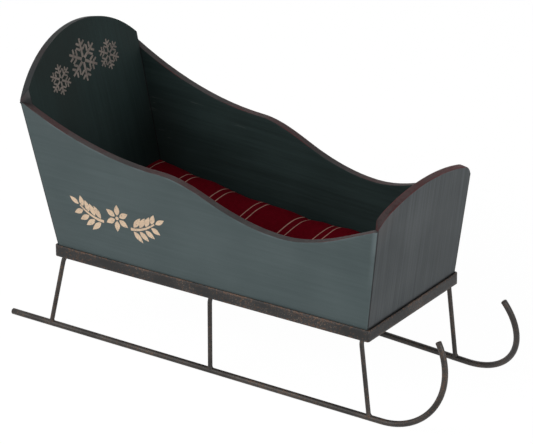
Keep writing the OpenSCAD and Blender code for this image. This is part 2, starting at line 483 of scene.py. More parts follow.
@dataclass(frozen=True)
class StripedCloth:
    """Plain-woven cloth with pairs of thin stripes across it."""

    name: str
    red: Colour
    deep: Colour
    stripe: Colour
    repeat: float = 29.4 * MM
    first: float = -95.4 * MM
    apart: float = 5.2 * MM
    half_line: float = 0.36 * MM
    blur: float = 0.12 * MM
    drift: float = 1.6 * MM
    bunch: float = 3.6 * MM
    bunch_at: float = -3.4 * MM
    bunch_reach: float = 22.0 * MM
    thread: float = 0.8 * MM
    depth: float = 0.18 * MM
    yarns: Point2 = (300.0, 2600.0)

    def build(self) -> bpy.types.Material:
        """Makes the cloth.

        Returns:
            The material.
        """
        s = Surface(self.name, Roughness=0.95, Specular_IOR_Level=0.04)
        along, fine = self.yarns
        threads = s.noise(1.0, (along, fine, along), 2.0)
        picks = s.noise(1.0, (fine, along, along), 2.0)
        slub = (threads + picks) * 0.5
        cloth = s.mix(slub.step(0.36, 0.64), self.deep, self.red)
        thin = s.noise(900.0, detail=2.0).step(0.3, 0.5)
        s.colour(s.mix(self._stripes(s) * (0.55 + thin * 0.4), cloth, self.stripe))
        turn = 2 * math.pi / self.thread
        warp = self._ridge(s, s.axis(0), turn)
        weft = self._ridge(s, s.axis(1), turn)
        s.relief((warp * weft) * 0.7 + slub * 0.3, self.depth)
        return s.material

    def _stripes(self, s: Surface) -> Value:
        """Draws the pairs of stripes, a little crooked and drawn forward where the cloth bunches.

        Args:
            s: The surface.

        Returns:
            1 on a stripe and 0 off it.
        """
        drift = (s.noise(45.0, detail=1.0) - 0.5) * self.drift
        low, high = self.bunch_at - self.bunch_reach, self.bunch_at + self.bunch_reach
        near = s.axis(0).step(low, self.bunch_at) * s.axis(0).step(high, self.bunch_at)
        along = s.axis(0) + drift - near * self.bunch
        across = ((along - self.first) / self.repeat + 0.5).fraction() - 0.5
        away = ((across * self.repeat).size() - self.apart / 2).size()
        return away.step(self.half_line + self.blur, self.half_line - self.blur)

    @staticmethod
    def _ridge(s: Surface, along: Value, turn: float) -> Value:
        """Threads as a wave from 0 to 1, turn radians to the metre."""
        wave = s.node("ShaderNodeMath", {"operation": "SINE"}, {0: along * turn})
        return wave * 0.5 + 0.5


@dataclass(frozen=True)
class StampInk:
    """Stamped colour with pin holes and thin patches where the paint below shows."""

    name: str
    ink: Colour
    thin: Colour
    ground: Colour
    depth: float = 0.08 * MM

    def build(self) -> bpy.types.Material:
        """Makes the ink.

        Returns:
            The material.
        """
        s = Surface(self.name, Roughness=0.75, Specular_IOR_Level=0.25)
        cloud = s.noise(130.0, detail=2.0)
        pins = s.noise(1400.0, detail=2.0)
        body = s.mix(cloud.step(0.35, 0.65), self.thin, self.ink)
        s.colour(s.mix(pins.step(0.60, 0.68) * 0.8, body, self.ground))
        s.relief(pins, self.depth)
        return s.material


class Finishes:
    """All the finishes of the sleigh, made once."""

    def __init__(self, sizes: "SleighSizes") -> None:
        """Makes the materials.

        Args:
            sizes: The sizes, for wear that follows a corner of the tub.
        """
        inner_light, inner_dark = from_srgb(44, 58, 57), from_srgb(32, 44, 43)
        inner_tint, inner_rub = from_srgb(34, 41, 39), from_srgb(72, 78, 76)
        self.side = BrushedPaint(
            "side paint", from_srgb(86, 98, 99), from_srgb(72, 84, 85), from_srgb(78, 88, 89),
            from_srgb(108, 120, 122), Grain.ALONG, streaks=0.45, corner=sizes.front_corner(),
        ).build()  # fmt: skip
        self.end = BrushedPaint(
            "end paint", from_srgb(90, 94, 96), from_srgb(62, 67, 69), from_srgb(82, 79, 78),
            from_srgb(104, 104, 106), Grain.UPRIGHT, streaks=0.85,
        ).build()  # fmt: skip
        # The front paint carries a painted shade band along its foot, in the gap above the rim.
        self.front = BrushedPaint(
            "front paint", from_srgb(88, 92, 94), from_srgb(62, 66, 68), from_srgb(84, 80, 79),
            from_srgb(104, 104, 106), Grain.UPRIGHT, streaks=0.8, gap_shade_z=63.0 * MM,
        ).build()  # fmt: skip
        self.inside_side = BrushedPaint(
            "inside paint, side", inner_light, inner_dark, inner_tint, inner_rub, Grain.ALONG,
            streaks=0.7, rub=0.3, scuffs=0.5, gloss=0.15,
        ).build()  # fmt: skip
        self.inside_end = BrushedPaint(
            "inside paint, end", inner_light, inner_dark, inner_tint, inner_rub, Grain.UPRIGHT,
            streaks=0.6, rub=0.2, scuffs=0.15, gloss=0.11,
        ).build()  # fmt: skip
        lines = (from_srgb(100, 30, 32), from_srgb(112, 112, 112))
        self.side_edge = WornEdge(
            "side edge", from_srgb(62, 57, 57), from_srgb(74, 55, 55), from_srgb(80, 77, 76),
            *lines, lined=0.75,
        ).build()  # fmt: skip
        self.head_edge = WornEdge(
            "headboard edge", from_srgb(50, 52, 53), from_srgb(56, 47, 47), from_srgb(60, 62, 62),
            *lines, lined=0.8,
        ).build()  # fmt: skip
        self.front_edge = WornEdge(
            "front edge", from_srgb(46, 34, 34), from_srgb(80, 46, 46), from_srgb(78, 66, 66), *lines
        ).build()
        self.bar = RubbedLacquer(
            "bar lacquer", from_srgb(46, 43, 41), from_srgb(61, 57, 54), from_srgb(116, 88, 68), amount=0.4
        ).build()
        self.rim = RubbedLacquer(
            "rim lacquer", from_srgb(38, 38, 38), from_srgb(50, 49, 49), from_srgb(112, 82, 62), pits=0.6
        ).build()
        self.cloth = StripedCloth(
            "striped cloth", from_srgb(121, 8, 27), from_srgb(102, 5, 20), from_srgb(212, 170, 152)
        ).build()
        self.cream = StampInk(
            "cream stamp", from_srgb(238, 210, 180), from_srgb(226, 198, 170), from_srgb(96, 104, 104)
        ).build()
        self.taupe = StampInk(
            "taupe stamp", from_srgb(150, 138, 130), from_srgb(128, 118, 111), from_srgb(44, 50, 48)
        ).build()


@dataclass(frozen=True)
class SleighSizes:
    """Sizes that the pieces share, in millimetres and degrees, as the part's source has them."""

    frame_len: float = 240.0
    frame_w_front: float = 103.5
    frame_w_rear: float = 120.0
    frame_z: float = 54.0
    pitch: float = 0.5
    rim_h: float = 8.0
    rim_t: float = 1.2
    rim_gap: float = 0.4
    bow_d: float = 3.0
    bow_bend: float = 5.0
    leg_inset: float = 1.5
    runner_d: float = 4.0
    rear_bow: Point2 = (-113.5, -125.5)
    front_bow: Point2 = (113.5, 120.0)
    runner_tail: float = 37.0
    curl_lead: float = 9.5
    curl_r: float = 45.5
    curl_sweep: float = 118.0
    board_t: float = 5.0
    flare: float = 2.5
    head_rake: float = 13.5
    front_rake: float = 7.5
    floor_t: float = 4.0

    @property
    def toe(self) -> float:
        """How far each side draws in towards the front, in radians."""
        return math.atan((self.frame_w_rear - self.frame_w_front) / 2 / self.frame_len)

    def drawn_in(self, y: float, x: float) -> float:
        """Distance from the middle plane at x, for what is y away from it at mid length."""
        return y - x * math.tan(self.toe)

    @property
    def frame_w(self) -> float:
        """Width of the rim at mid length."""
        return (self.frame_w_front + self.frame_w_rear) / 2

    def leg_y(self, x: float) -> float:
        """From the middle plane to the middle of the leg of a bow at x."""
        return self.drawn_in(self.frame_w / 2 - self.leg_inset, x)

    @property
    def runner_toe(self) -> float:
        """How far each runner draws in, passing under the feet of the end bows, in radians."""
        spread = self.leg_y(self.rear_bow[0]) - self.leg_y(self.front_bow[0])
        return math.atan(spread / (self.front_bow[1] - self.rear_bow[1]))

    @property
    def runner_y(self) -> float:
        """From the middle plane to the middle of a runner, at mid length."""
        return self.leg_y(self.rear_bow[0]) + self.rear_bow[1] * math.tan(self.runner_toe)

    @property
    def bow_seat(self) -> float:
        """From the rim's underside up to the middle of a cross bar, whose bends just clear the rim.

        Returns:
            The height in millimetres.
        """
        r = self.bow_d / 2
        reach = self.bow_bend + self.leg_inset - self.rim_t / math.cos(self.toe) - r * math.tan(self.toe)
        return self.bow_bend - math.sqrt((self.bow_bend + r) ** 2 - reach**2)

    @property
    def foot_z(self) -> float:
        """Foot of the tub, counted from the rim's top."""
        return self.bow_seat + self.bow_d / 2 - self.rim_h

    @property
    def tub_x(self) -> float:
        """From mid length to an end board's outer face, at the rim's top."""
        return self.frame_len / 2 - self.rim_t - self.rim_gap

    @property
    def tub_y(self) -> float:
        """From the middle plane to a side board's outer face, at mid length and the rim's top."""
        return self.frame_w / 2 - (self.rim_t + self.rim_gap) / math.cos(self.toe)

    @property
    def shift_x(self) -> float:
        """Place of the frame's mid length in the scene, which is at the middle of the outline.

        Returns:
            The place along X in millimetres.
        """
        r = self.runner_d / 2
        ends = self.curl_lead + self.curl_r - self.runner_tail
        return -(ends * math.cos(self.runner_toe) + r * (1 - math.sin(self.runner_toe))) / 2

    def inside_y(self, x: float, z: float) -> float:
        """From the middle plane to a side board's inner face.

        Args:
            x: Place along the tub, from mid length.
            z: Height over the rim's top.

        Returns:
            The distance in millimetres.
        """
        lean = math.radians(self.flare)
        off = z * math.tan(lean) - self.board_t / math.cos(lean)
        return self.drawn_in(self.tub_y, x) + off / math.cos(self.toe)

    def inside_x(self, z: float) -> Point2:
        """Places of the headboard's and the front board's inner faces.

        Args:
            z: Height over the rim's top.

        Returns:
            Both places along the tub, from mid length.
        """
        head, front = math.radians(self.head_rake), math.radians(self.front_rake)
        return (
            -self.tub_x - z * math.tan(head) + self.board_t / math.cos(head),
            self.tub_x + z * math.tan(front) - self.board_t / math.cos(front),
        )

    def on_frame(self) -> Matrix:
        """Takes millimetres from the middle of the rim's top into the scene."""
        return (
            Matrix.Scale(MM, 4)
            @ Matrix.Translation((self.shift_x, 0, self.frame_z))
            @ Matrix.Rotation(-math.radians(self.pitch), 4, "Y")
            @ Matrix.Translation((0, 0, self.rim_h))
        )

    def side_face(self, hand: Hand) -> Matrix:
        """Takes along, up and out on a side board's outer face into the scene.

        Args:
            hand: Which side board.

        Returns:
            The matrix, from millimetres on the face.
        """
        lean = math.radians(self.flare)
        out = self.side_out(hand)
        level = Vector((out.x, out.y, 0)).normalized()
        up = level * math.sin(lean) + Vector((0, 0, math.cos(lean)))
        return self.on_frame() @ basis(up.cross(out), up, out, Vector((0, hand.value * self.tub_y, 0)))

    def side_out(self, hand: Hand) -> Vector:
        """Which way a side board's outer face looks, before the frame's pitch.

        Args:
            hand: Which side board.

        Returns:
            The direction, of length 1.
        """
        lean = math.radians(self.flare)
        return Vector((
            math.sin(self.toe) * math.cos(lean),
            hand.value * math.cos(self.toe) * math.cos(lean),
            -math.sin(lean),
        ))  # fmt: skip

    def front_corner(self) -> Point2:
        """Outer line of the front mitres, as seen from the side.

        Returns:
            Its X at the ground, in metres, and how far it leans ahead for each metre up.
        """
        low = self.on_frame() @ Vector((self.tub_x, 0, 0))
        rake = math.radians(self.front_rake)
        along = self.on_frame().to_3x3() @ Vector((math.sin(rake), 0, math.cos(rake)))
        lean = along.x / along.z
        return low.x - low.z * lean, lean

    def head_face(self) -> Matrix:
        """Takes across, up and out on the headboard's inner face into the scene.

        Returns:
            The matrix, from millimetres on the face.
        """
        lean = math.radians(self.head_rake)
        out = Vector((math.cos(lean), 0, math.sin(lean)))
        up = Vector((-math.sin(lean), 0, math.cos(lean)))
        start = Vector((-self.tub_x, 0, 0)) + out * self.board_t
        return self.on_frame() @ basis(up.cross(out), up, out, start)


def basis(x: Vector, y: Vector, z: Vector, start: Vector) -> Matrix:
    """A frame from its three axes and its start.

    Args:
        x: First axis.
        y: Second axis.
        z: Third axis.
        start: Where the frame's zero lies.

    Returns:
        The matrix that takes the frame's coordinates outwards.
    """
    turn = Matrix((x, y, z)).transposed().to_4x4()
    return Matrix.Translation(start) @ turn


def add_piece(
    name: str, bm: bmesh.types.BMesh, materials: Sequence[bpy.types.Material], smooth: float = 40.0
) -> bpy.types.Object:
    """Makes a scene object of a mesh and lets it ride on the sleigh.

    Args:
        name: The piece's name.
        bm: The mesh, in metres; it is freed.
        materials: One material for each slot that the faces name.
        smooth: Edges sharper than this many degrees stay sharp.

    Returns:
        The piece.
    """
    bmesh.ops.recalc_face_normals(bm, faces=bm.faces)
    mesh = bpy.data.meshes.new(name)
    for face in bm.faces:
        face.smooth = True
    bm.to_mesh(mesh)
    bm.free()
    mesh.set_sharp_from_angle(angle=math.radians(smooth))
    for material in materials:
        mesh.materials.append(material)
    piece = bpy.data.objects.new(name, mesh)
    bpy.context.scene.collection.objects.link(piece)
    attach(piece, BODY)
    return piece


def skin(bm: bmesh.types.BMesh, rings: Sequence[Sequence[bmesh.types.BMVert]], joined: bool = False) -> None:
    """Covers rings of points with faces, from each ring to the next.

    Args:
        bm: The mesh to add to.
        rings: Rings with as many points each.
        joined: Whether the last ring goes on to the first; if not, both ends are capped.
    """
    after = [*rings[1:], rings[0]] if joined else rings[1:]
    for ring, following in zip(rings, after):
        for j in range(len(ring)):
            k = (j + 1) % len(ring)
            bm.faces.new((ring[j], ring[k], following[k], following[j]))
    if not joined:
        bm.faces.new(rings[0])
        bm.faces.new(rings[-1])


@dataclass
class Tub:
    """The five boards of the tub, with eased arrises and paint that is worn along them."""

    sizes: SleighSizes
    finishes: Finishes
    ease: float = 0.45 * MM
    worn_band: float = 1.3 * MM
    crease: float = 25.0
    level: float = 0.6
    faces_out: float = 0.98
    stands_up: float = 0.2
    narrow: float = 1.2 * MM
    seam_reach: float = 0.7 * MM
    mitre_wear: float = 0.4
    keep_off: float = 1.5
    smooth: float = 35.0
    front_h: float = 86.2
    front_shape: dict[Hand, tuple[float, float, float]] = field(
        default_factory=lambda: {Hand.RIGHT: (135.0, 30.0, 32.0), Hand.LEFT: (150.0, 12.5, 41.0)}
    )

    def build(self) -> list[bpy.types.Object]:
        """Makes all the boards.

        Returns:
            The boards, painted.
        """
        f = self.finishes
        head, front = (math.radians(a) for a in (self.sizes.head_rake, self.sizes.front_rake))
        right, left = (self.sizes.side_out(hand) for hand in Hand)
        back = Vector((-math.cos(head), 0, -math.sin(head)))
        ahead = Vector((math.cos(front), 0, -math.sin(front)))
        plan = [
            ("side_board_right", right, f.side, f.inside_side, f.side_edge),
            ("side_board_left", left, f.side, f.inside_side, f.side_edge),
            ("headboard", back, f.end, f.inside_end, f.head_edge),
            ("front_board", ahead, f.front, f.inside_end, f.front_edge),
            ("floor_board", Vector((0, 0, -1)), f.inside_side, f.inside_side, f.side_edge),
        ]
        return [self._board(*row) for row in plan]

    def _board(self, node: str, out: Vector, *paints: bpy.types.Material) -> bpy.types.Object:
        """Copies one board, eases its arrises and sorts its faces.

        Args:
            node: The board's node in the frame.
            out: Which way its outer face looks, before the frame's pitch.
            *paints: Paint of the outer face, of the inner face and of the edge.

        Returns:
            The piece, which stands for the node.
        """
        out = self.sizes.on_frame().to_3x3().normalized() @ out
        if node == "front_board":
            bm = self._front_blank()
        else:
            bm = bmesh.new()
            bm.from_mesh(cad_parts[node].data)
        self._ease_arrises(bm)
        mitres = self._mitres(bm, out)
        arris = bm.verts.layers.float.new("arris")
        seam = bm.verts.layers.float.new("seam")
        for vert in bm.verts:
            vert[arris] = 1.0
            vert[seam] = float(any(abs((vert.co - at).dot(n)) < self.seam_reach for at, n in mitres))
        zones: dict[Zone, list[bmesh.types.BMFace]] = {zone: [] for zone in Zone}
        for face in bm.faces:
            zone = self._zone(face.normal.dot(out))
            face.material_index = zone.value
            zones[zone].append(face)
        for zone in (Zone.OUTER, Zone.INNER):
            broad = max(zones[zone], key=lambda f: f.calc_area())
            self._inset(bm, [broad], (arris, seam), self.worn_band)
        upright = [f for f in zones[Zone.EDGE] if abs(f.normal.dot(out)) < self.stands_up]
        flat = [f for f in upright if f.calc_area() > self.narrow**2]
        clear = [f for f in flat if self._clear_of(f, mitres)]
        for vert in {v for f in flat if f not in clear for v in f.verts}:
            vert[arris] = self.mitre_wear
        self._inset(bm, clear, (arris,), self.worn_band)
        piece = add_piece(node + "_painted", bm, paints, self.smooth)
        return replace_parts(piece, node)

    def _ease_arrises(self, bm: bmesh.types.BMesh) -> None:
        """Joins the facets of a board's flat faces and rounds its edges.

        Args:
            bm: The board's mesh.
        """
        bmesh.ops.remove_doubles(bm, verts=bm.verts, dist=MM / 1000)
        bmesh.ops.dissolve_limit(bm, angle_limit=math.radians(self.level), verts=bm.verts, edges=bm.edges)
        inner = [e for e in bm.edges if len(e.link_faces) == 2]
        sharp = [e for e in inner if e.calc_face_angle(0) > math.radians(self.crease)]
        bmesh.ops.bevel(
            bm, geom=sharp, offset=self.ease, segments=3, profile=0.5, affect="EDGES", clamp_overlap=True
        )

    def _zone(self, facing: float) -> Zone:
        """Sorts a face by the way that it looks.

        Args:
            facing: 1 where it looks out from the board, and -1 where it looks in.

        Returns:
            The zone that it is painted with.
        """
        if abs(facing) <= self.faces_out:
            return Zone.EDGE
        return Zone.OUTER if facing > 0 else Zone.INNER

    @staticmethod
    def _mitres(bm: bmesh.types.BMesh, out: Vector) -> list[tuple[Vector, Vector]]:
        """Finds the planes where a board is mitred to its neighbours.

        Args:
            bm: The board's mesh.
            out: Which way its outer face looks.

        Returns:
            A point and the normal of each plane.
        """
        level = out.cross(Vector((0, 0, 1))).normalized()
        smallest, tilt = (8 * MM) ** 2, 0.3
        least, most = 0.4, 0.95
        broad = [f for f in bm.faces if f.calc_area() > smallest and abs(f.normal.z) < tilt]
        slanted = [f for f in broad if least < abs(f.normal.dot(level)) < most]
        return [(f.calc_center_median(), f.normal.copy()) for f in slanted]

    def _clear_of(self, face: bmesh.types.BMFace, planes: list[tuple[Vector, Vector]]) -> bool:
        """Whether a face keeps the worn band's width and more from some planes."""
        away = [abs((v.co - at).dot(n)) for v in face.verts for at, n in planes]
        return min(away, default=1.0) > self.keep_off * self.worn_band

    def _front_blank(self) -> bmesh.types.BMesh:
        """Cuts the front board to its arch, mitred to both side boards.

        Returns:
            The board's mesh, in the scene.
        """
        s = self.sizes
        rake = math.radians(s.front_rake)
        out = Vector((math.cos(rake), 0, -math.sin(rake)))
        up = Vector((math.sin(rake), 0, math.cos(rake)))
        at = Vector((s.tub_x, 0, 0))
        edge = s.drawn_in(s.tub_y, s.tub_x)
        mitres = [(at + Vector((0, hand.value * edge, 0)), s.side_out(hand) - out) for hand in Hand]
        bm = bmesh.new()
        layers = []
        for back in (0.0, s.board_t):
            place = basis(Vector((0, 1, 0)), up, out, at - out * back)
            layers.append([bm.verts.new(place @ Vector((*p, 0))) for p in self._front_outline()])
        skin(bm, layers)
        for where, away in (*mitres, (Vector((0, 0, s.foot_z)), Vector((0, 0, -1)))):
            geom = [*bm.verts, *bm.edges, *bm.faces]
            bmesh.ops.bisect_plane(bm, geom=geom, dist=1e-5, plane_co=where, plane_no=away, clear_outer=True)
            bmesh.ops.holes_fill(bm, edges=[e for e in bm.edges if e.is_boundary], sides=0)
        bmesh.ops.recalc_face_normals(bm, faces=bm.faces)
        bm.transform(s.on_frame())
        return bm

    def _front_outline(self) -> list[Point2]:
        """Outline of the front board, across and up it, wider than its mitres leave it."""
        right = [(-x, h) for x, h in self._front_half(Hand.RIGHT)]
        return self._front_half(Hand.LEFT) + right[-2::-1]

    def _front_half(self, hand: Hand) -> list[Point2]:
        """Half of the front board's outline, from its foot over a shoulder to the crown.

        Args:
            hand: Which half; the two are not cut quite alike.

        Returns:
            Points outwards and up from the middle of the board.
        """
        arch_r, corner_r, u = self.front_shape[hand]
        high = self.front_h - arch_r
        v = high + math.sqrt((arch_r - corner_r) ** 2 - u**2)
        turn = math.atan2(v - high, u)
        half = [(u + corner_r, -2 * self.sizes.rim_h)]
        shoulder_steps, arch_steps = 9, 24
        for k in range(shoulder_steps + 1):
            a = turn * k / shoulder_steps
            half.append((u + corner_r * math.cos(a), v + corner_r * math.sin(a)))
        for k in range(1, arch_steps + 1):
            a = turn + (math.pi / 2 - turn) * k / arch_steps
            half.append((arch_r * math.cos(a), high + arch_r * math.sin(a)))
        return half

    @staticmethod
    def _inset(
        bm: bmesh.types.BMesh,
        faces: list[bmesh.types.BMFace],
        layers: Sequence[bmesh.types.BMLayerItem],
        width: float,
    ) -> None:
        """Draws a band inside the outline of some faces and clears the wear within it.

        Args:
            bm: The board's mesh.
            faces: Faces that lie side by side.
            layers: The marks carried on the points, such as wear.
            width: How wide the band is.
        """
        bmesh.ops.inset_region(bm, faces=faces, thickness=width, use_even_offset=True, use_boundary=True)
        for face in faces:
            for vert in face.verts:
                for layer in layers:
                    vert[layer] = 0.0


@dataclass
class BarFrame:
    """The rim, the three bows and the two runners."""

    sizes: SleighSizes
    finishes: Finishes
    sides: int = 24
    smooth: float = 50.0
    rim_corner: float = 1.6
    rim_ease: float = 0.22
    end_ease: float = 0.35
    weld: tuple[Point2, ...] = ((1.4, 0.55), (1.9, 0.4), (2.5, 0.12), (3.2, 0.0))
    curl_lean: dict[Hand, float] = field(default_factory=lambda: {Hand.RIGHT: 0.0, Hand.LEFT: 18.0})

    def build(self) -> list[bpy.types.Object]:
        """Makes all the metal.

        Returns:
            The rim, the bows and the runners.
        """
        return [
            self._rim(),
            self._bow("bow_rear", *self.sizes.rear_bow),
            self._bow("bow_middle", 0.0, 0.0),
            self._bow("bow_front", *self.sizes.front_bow),
            *(self._runner(hand) for hand in Hand),
        ]

    def _metal(self, name: str, bm: bmesh.types.BMesh, finish: bpy.types.Material) -> bpy.types.Object:
        """Makes a piece of lacquered bar of a mesh."""
        return add_piece(name, bm, [finish], self.smooth)

    def _rim(self) -> bpy.types.Object:
        """Makes the rim as one band with bent corners.

        Returns:
            The piece, which stands for the rim's four bars.
        """
        s = self.sizes
        ease = self.rim_ease
        share = ease / s.rim_t
        profile = [
            (0, -s.rim_h + ease), (0, -ease), (share, 0), (1 - share, 0),
            (1, -ease), (1, -s.rim_h + ease), (1 - share, -s.rim_h), (share, -s.rim_h),
        ]  # fmt: skip
        bm = bmesh.new()
        arris = bm.verts.layers.float.new("arris")
        rings = []
        for outside, inside in self._rim_plan():
            ring = []
            for inwards, z in profile:
                p = outside.lerp(inside, inwards)
                vert = bm.verts.new(s.on_frame() @ Vector((p.x, p.y, z)))
                vert[arris] = 1.0
                ring.append(vert)
            rings.append(ring)
        skin(bm, rings, joined=True)
        tall = [e for e in bm.edges if abs(e.verts[0].co.z - e.verts[1].co.z) > 0.6 * s.rim_h * MM]
        cut = bmesh.ops.subdivide_edges(bm, edges=tall, cuts=3, use_grid_fill=False)
        for item in cut["geom_inner"]:
            if isinstance(item, bmesh.types.BMVert):
                item[arris] = 0.0
        piece = self._metal("rim_band", bm, self.finishes.rim)
        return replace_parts(piece, "rim_right", "rim_left", "rim_front", "rim_rear")

    def _rim_plan(self) -> list[tuple[Vector, Vector]]:
        """Walks once round the rim, with its bends.

        Returns:
            Pairs of points on the rim's outside and on its inside, in plan.
        """
        s = self.sizes
        bend = self.rim_corner
        steps = 6
        plan = []
        for turn, (sx, sy) in enumerate(((1, 1), (-1, 1), (-1, -1), (1, -1))):
            x = sx * (s.frame_len / 2 - bend)
            mid = Vector((x, sy * (s.drawn_in(s.frame_w / 2, x) - bend)))
            for step in range(steps + 1):
                a = math.pi / 2 * (turn + step / steps)
                c = Vector((math.cos(a), math.sin(a)))
                plan.append((mid + c * bend, mid + c * (bend - s.rim_t)))
        return plan

    def _bow(self, node: str, top_x: float, foot_x: float) -> bpy.types.Object:
        """Bends one bow and flares its feet into welds.

        Args:
            node: The bow's node in the frame.
            top_x: Place of its cross bar, from mid length.
            foot_x: Place of its feet, from mid length.

        Returns:
            The piece.
        """
        s = self.sizes
        pitch = math.radians(s.pitch)
        top = Vector((
            top_x * math.cos(pitch) - s.bow_seat * math.sin(pitch),
            0,
            s.frame_z + top_x * math.sin(pitch) + s.bow_seat * math.cos(pitch),
        ))  # fmt: skip
        foot = Vector((foot_x, 0, s.runner_d / 2))
        down = (foot - top).normalized()
        reach = (foot - top).length
        r = s.bow_d / 2
        leg = Vector((0, s.leg_y(top_x), 0))
        half: list[tuple[Vector, float]] = []
        for above, bead in self.weld:
            half.append((leg + down * (reach - above), r + bead))
        straight = reach - self.weld[-1][0]
        leg_steps, bend_steps = 5, 8
        for k in range(1, leg_steps):
            share = k / leg_steps
            half.append((leg + down * (straight * (1 - share) + s.bow_bend * share), r))
        for k in range(bend_steps + 1):
            a = math.pi / 2 * k / bend_steps
            y = leg.y - s.bow_bend * (1 - math.cos(a))
            half.append((Vector((0, y, 0)) + down * (s.bow_bend * (1 - math.sin(a))), r))
        path = half + [(Vector((p.x, -p.y, p.z)), radius) for p, radius in reversed(half)]
        start = top + Vector((s.shift_x, 0, 0))
        points = [(p + start) * MM for p, _ in path]
        bm = sweep(points, [radius * MM for _, radius in path], self.sides)
        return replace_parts(self._metal(node + "_bar", bm, self.finishes.bar), node)

    def _runner(self, hand: Hand) -> bpy.types.Object:
        """Bends one runner, with eased ends.

        Args:
            hand: Which runner.

        Returns:
            The piece.
        """
        s = self.sizes
        r = s.runner_d / 2
        tail = -s.frame_len / 2 - s.runner_tail
        curl = s.frame_len / 2 + s.curl_lead
        ease = self.end_ease
        bar_steps, curl_steps = 24, 40
        path: list[tuple[float, float, float]] = [(tail, 0, r - ease), (tail + ease, 0, r)]
        path += [(tail + (curl - tail) * k / bar_steps, 0, r) for k in range(1, bar_steps)]
        sweep_end = math.radians(s.curl_sweep)
        for k in range(curl_steps + 1):
            a = sweep_end * k / curl_steps
            path.append((curl + s.curl_r * math.sin(a), s.curl_r * (1 - math.cos(a)), r))
        x, h, _ = path[-1]
        path[-1] = (x - ease * math.cos(sweep_end), h - ease * math.sin(sweep_end), r)
        path.append((x, h, r - ease))
        place = (
            Matrix.Scale(MM, 4)
            @ Matrix.Translation((s.shift_x, hand.value * s.runner_y, r))
            @ Matrix.Rotation(-hand.value * s.runner_toe, 4, "Z")
            @ Matrix.Rotation(hand.value * math.radians(self.curl_lean[hand]), 4, "X")
        )
        points = [place @ Vector((px, 0, ph)) for px, ph, _ in path]
        bm = sweep(points, [radius * MM for *_, radius in path], self.sides)
        name = "runner_" + hand.name.lower()
        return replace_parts(self._metal(name + "_bar", bm, self.finishes.bar), name)


def sweep(points: Sequence[Vector], radii: Sequence[float], sides: int) -> bmesh.types.BMesh:
    """Makes a closed round bar along a path.

    Args:
        points: The middle of the bar.
        radii: Its radius at each point.
        sides: How many sides it has.

    Returns:
        The bar's mesh.
    """
    bm = bmesh.new()
    wear = bm.verts.layers.float.new("arris")
    end_wear, bar_wear = 1.0, 0.25
    last = len(points) - 1
    tangents = [(points[min(k + 1, last)] - points[max(k - 1, 0)]).normalized() for k in range(last + 1)]
    across = tangents[0].orthogonal().normalized()
    rings = []
    for k, (point, radius) in enumerate(zip(points, radii)):
        across = (across - tangents[k] * across.dot(tangents[k])).normalized()
        other = tangents[k].cross(across)
        ring = []
        for j in range(sides):
            a = 2 * math.pi * j / sides
            vert = bm.verts.new(point + (across * math.cos(a) + other * math.sin(a)) * radius)
            vert[wear] = end_wear if k in (0, last) else bar_wear
            ring.append(vert)
        rings.append(ring)
    skin(bm, rings)
    return bm


def polar(mid: Point2, aim: float, reach: float) -> Point2:
    """A point seen from another one.

    Args:
        mid: Where it is seen from.
        aim: Which way it lies, in degrees.
        reach: How far off it is.

    Returns:
        The point.
    """
    a = math.radians(aim)
    return mid[0] + reach * math.cos(a), mid[1] + reach * math.sin(a)


class Stencil:
    """Flat shapes of a print, each with its own outline, in millimetres."""

    dot_sides = 14

    def __init__(self) -> None:
        """Starts with no shape."""
        self.shapes: list[list[Point2]] = []

    def leaf(self, at: Point2, aim: float, length: float, width: float) -> None:
        """Adds a slim leaf.

        Args:
            at: Where it starts.
            aim: Which way it points, in degrees.
            length: How long it is.
            width: How wide it is.
        """
        c, s = math.cos(math.radians(aim)), math.sin(math.radians(aim))
        steps, fullness = 10, 0.85
        shares = [k / steps for k in range(steps + 1)]
        rows = [(t * length, width / 2 * math.sin(math.pi * t**fullness)) for t in shares]
        rim = rows + [(along, -half) for along, half in reversed(rows[1:-1])]
        self.shapes.append([(at[0] + x * c - y * s, at[1] + x * s + y * c) for x, y in rim])

    def stroke(self, line: Sequence[Point2], thick: float, thin: float) -> None:
        """Adds a stroke that tapers along a line.

        Args:
            line: The middle of the stroke.
            thick: Its width at the start.
            thin: Its width at the end.
        """
        left, right = [], []
        for k, (x, y) in enumerate(line):
            x0, y0 = line[max(k - 1, 0)]
            x1, y1 = line[min(k + 1, len(line) - 1)]
            d = math.hypot(x1 - x0, y1 - y0)
            w = (thick + (thin - thick) * k / (len(line) - 1)) / 2
            left.append((x - (y1 - y0) / d * w, y + (x1 - x0) / d * w))
            right.append((x + (y1 - y0) / d * w, y - (x1 - x0) / d * w))
        self.shapes.append(right + left[::-1])

    def dot(self, at: Point2, radius: float) -> None:
        """Adds a round dot."""
        self.shapes.append([polar(at, 360 * k / self.dot_sides, radius) for k in range(self.dot_sides)])

    def build(
        self, name: str, place: Matrix, material: bpy.types.Material, film: float = 0.12, sunk: float = 0.05
    ) -> bpy.types.Object:
        """Makes the print as a thin film on a board.

        Args:
            name: The piece's name.
            place: Takes the print's own frame into the scene.
            material: The ink.
            film: How thick the film is.
            sunk: How much of it lies in the board.

        Returns:
            The piece.
        """
        bm = bmesh.new()
        for shape in self.shapes:
            low = [bm.verts.new(place @ Vector((x, y, -sunk))) for x, y in shape]
            high = [bm.verts.new(place @ Vector((x, y, film - sunk))) for x, y in shape]
            skin(bm, (low, high))
        return add_piece(name, bm, [material], 30.0)


